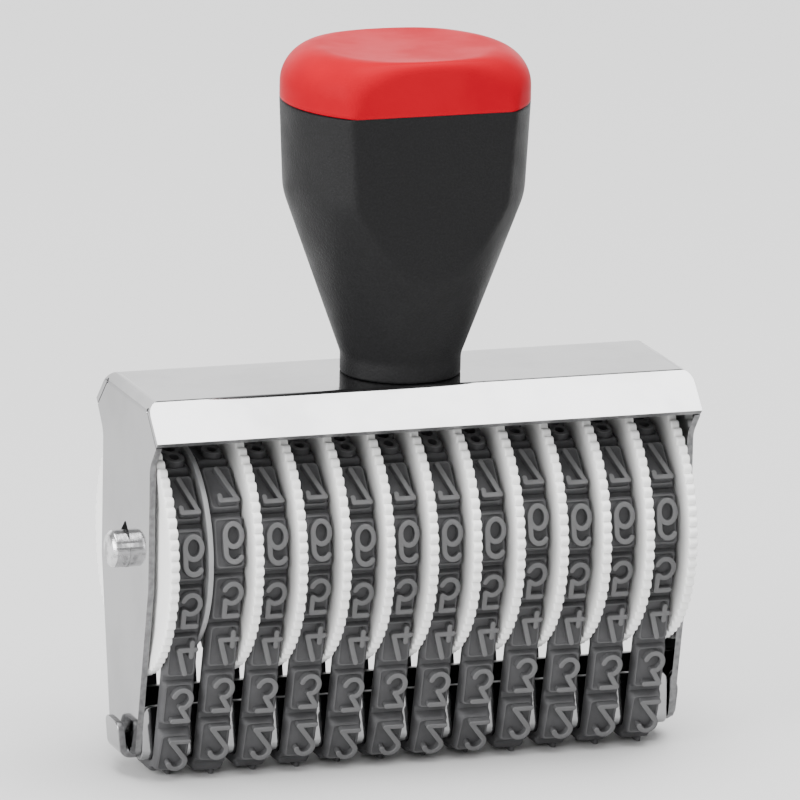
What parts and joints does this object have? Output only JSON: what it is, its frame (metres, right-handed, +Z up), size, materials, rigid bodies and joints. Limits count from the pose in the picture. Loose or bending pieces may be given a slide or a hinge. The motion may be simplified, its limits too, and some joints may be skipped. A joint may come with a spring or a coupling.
{
  "type": "numbering machine",
  "caption": "Hand numbering stamp with rubber number bands that thumbwheels turn on one axle, in a bent sheet housing with a tapered two-colour handle.",
  "frame": {"origin": "under the middle of the stamp, in the plane of the raised figures that print", "axes": "+Z up through the handle, +X along the axle to the right seen from the front, -Y the front, where the wheels are read and turned"},
  "size_m": [0.0682, 0.0288, 0.0816],
  "materials": {
    "chrome_sheet": "bright nickel-chrome plate on bent sheet",
    "steel": "bright turned steel",
    "grey_disc": "smooth light grey",
    "white_plastic": "white moulded, satin",
    "rubber": "dark grey moulded rubber, matte",
    "black_plastic": "fine spark-eroded texture",
    "red_plastic": "satin"
  },
  "bodies": {
    "stamp_body": {"housing": "chrome_sheet", "print_bridge": "chrome_sheet", "axle": "steel", "separator_disc": "grey_disc", "handle_grip": "black_plastic", "handle_cap": "red_plastic", "handle_screw": "steel", "screw_washer": "steel", "number_band_01": "rubber", "number_band_02": "rubber", "number_band_03": "rubber", "number_band_04": "rubber", "number_band_05": "rubber", "number_band_06": "rubber", "number_band_07": "rubber", "number_band_08": "rubber", "number_band_09": "rubber", "number_band_10": "rubber", "number_band_11": "rubber", "number_band_12": "rubber"},
    "wheel_01": {"thumbwheel_01": "white_plastic"},
    "wheel_02": {"thumbwheel_02": "white_plastic"},
    "wheel_03": {"thumbwheel_03": "white_plastic"},
    "wheel_04": {"thumbwheel_04": "white_plastic"},
    "wheel_05": {"thumbwheel_05": "white_plastic"},
    "wheel_06": {"thumbwheel_06": "white_plastic"},
    "wheel_07": {"thumbwheel_07": "white_plastic"},
    "wheel_08": {"thumbwheel_08": "white_plastic"},
    "wheel_09": {"thumbwheel_09": "white_plastic"},
    "wheel_10": {"thumbwheel_10": "white_plastic"},
    "wheel_11": {"thumbwheel_11": "white_plastic"},
    "wheel_12": {"thumbwheel_12": "white_plastic"}
  },
  "joints": [
    {"name": "turn_wheel_01", "type": "hinge", "parent": "stamp_body", "child": "wheel_01", "pos_m": [0, 0, 0.02585], "axis": [1, 0, 0], "continuous": true},
    {"name": "turn_wheel_02", "type": "hinge", "parent": "stamp_body", "child": "wheel_02", "pos_m": [0, 0, 0.02585], "axis": [1, 0, 0], "continuous": true},
    {"name": "turn_wheel_03", "type": "hinge", "parent": "stamp_body", "child": "wheel_03", "pos_m": [0, 0, 0.02585], "axis": [1, 0, 0], "continuous": true},
    {"name": "turn_wheel_04", "type": "hinge", "parent": "stamp_body", "child": "wheel_04", "pos_m": [0, 0, 0.02585], "axis": [1, 0, 0], "continuous": true},
    {"name": "turn_wheel_05", "type": "hinge", "parent": "stamp_body", "child": "wheel_05", "pos_m": [0, 0, 0.02585], "axis": [1, 0, 0], "continuous": true},
    {"name": "turn_wheel_06", "type": "hinge", "parent": "stamp_body", "child": "wheel_06", "pos_m": [0, 0, 0.02585], "axis": [1, 0, 0], "continuous": true},
    {"name": "turn_wheel_07", "type": "hinge", "parent": "stamp_body", "child": "wheel_07", "pos_m": [0, 0, 0.02585], "axis": [1, 0, 0], "continuous": true},
    {"name": "turn_wheel_08", "type": "hinge", "parent": "stamp_body", "child": "wheel_08", "pos_m": [0, 0, 0.02585], "axis": [1, 0, 0], "continuous": true},
    {"name": "turn_wheel_09", "type": "hinge", "parent": "stamp_body", "child": "wheel_09", "pos_m": [0, 0, 0.02585], "axis": [1, 0, 0], "continuous": true},
    {"name": "turn_wheel_10", "type": "hinge", "parent": "stamp_body", "child": "wheel_10", "pos_m": [0, 0, 0.02585], "axis": [1, 0, 0], "continuous": true},
    {"name": "turn_wheel_11", "type": "hinge", "parent": "stamp_body", "child": "wheel_11", "pos_m": [0, 0, 0.02585], "axis": [1, 0, 0], "continuous": true},
    {"name": "turn_wheel_12", "type": "hinge", "parent": "stamp_body", "child": "wheel_12", "pos_m": [0, 0, 0.02585], "axis": [1, 0, 0], "continuous": true}
  ]
}
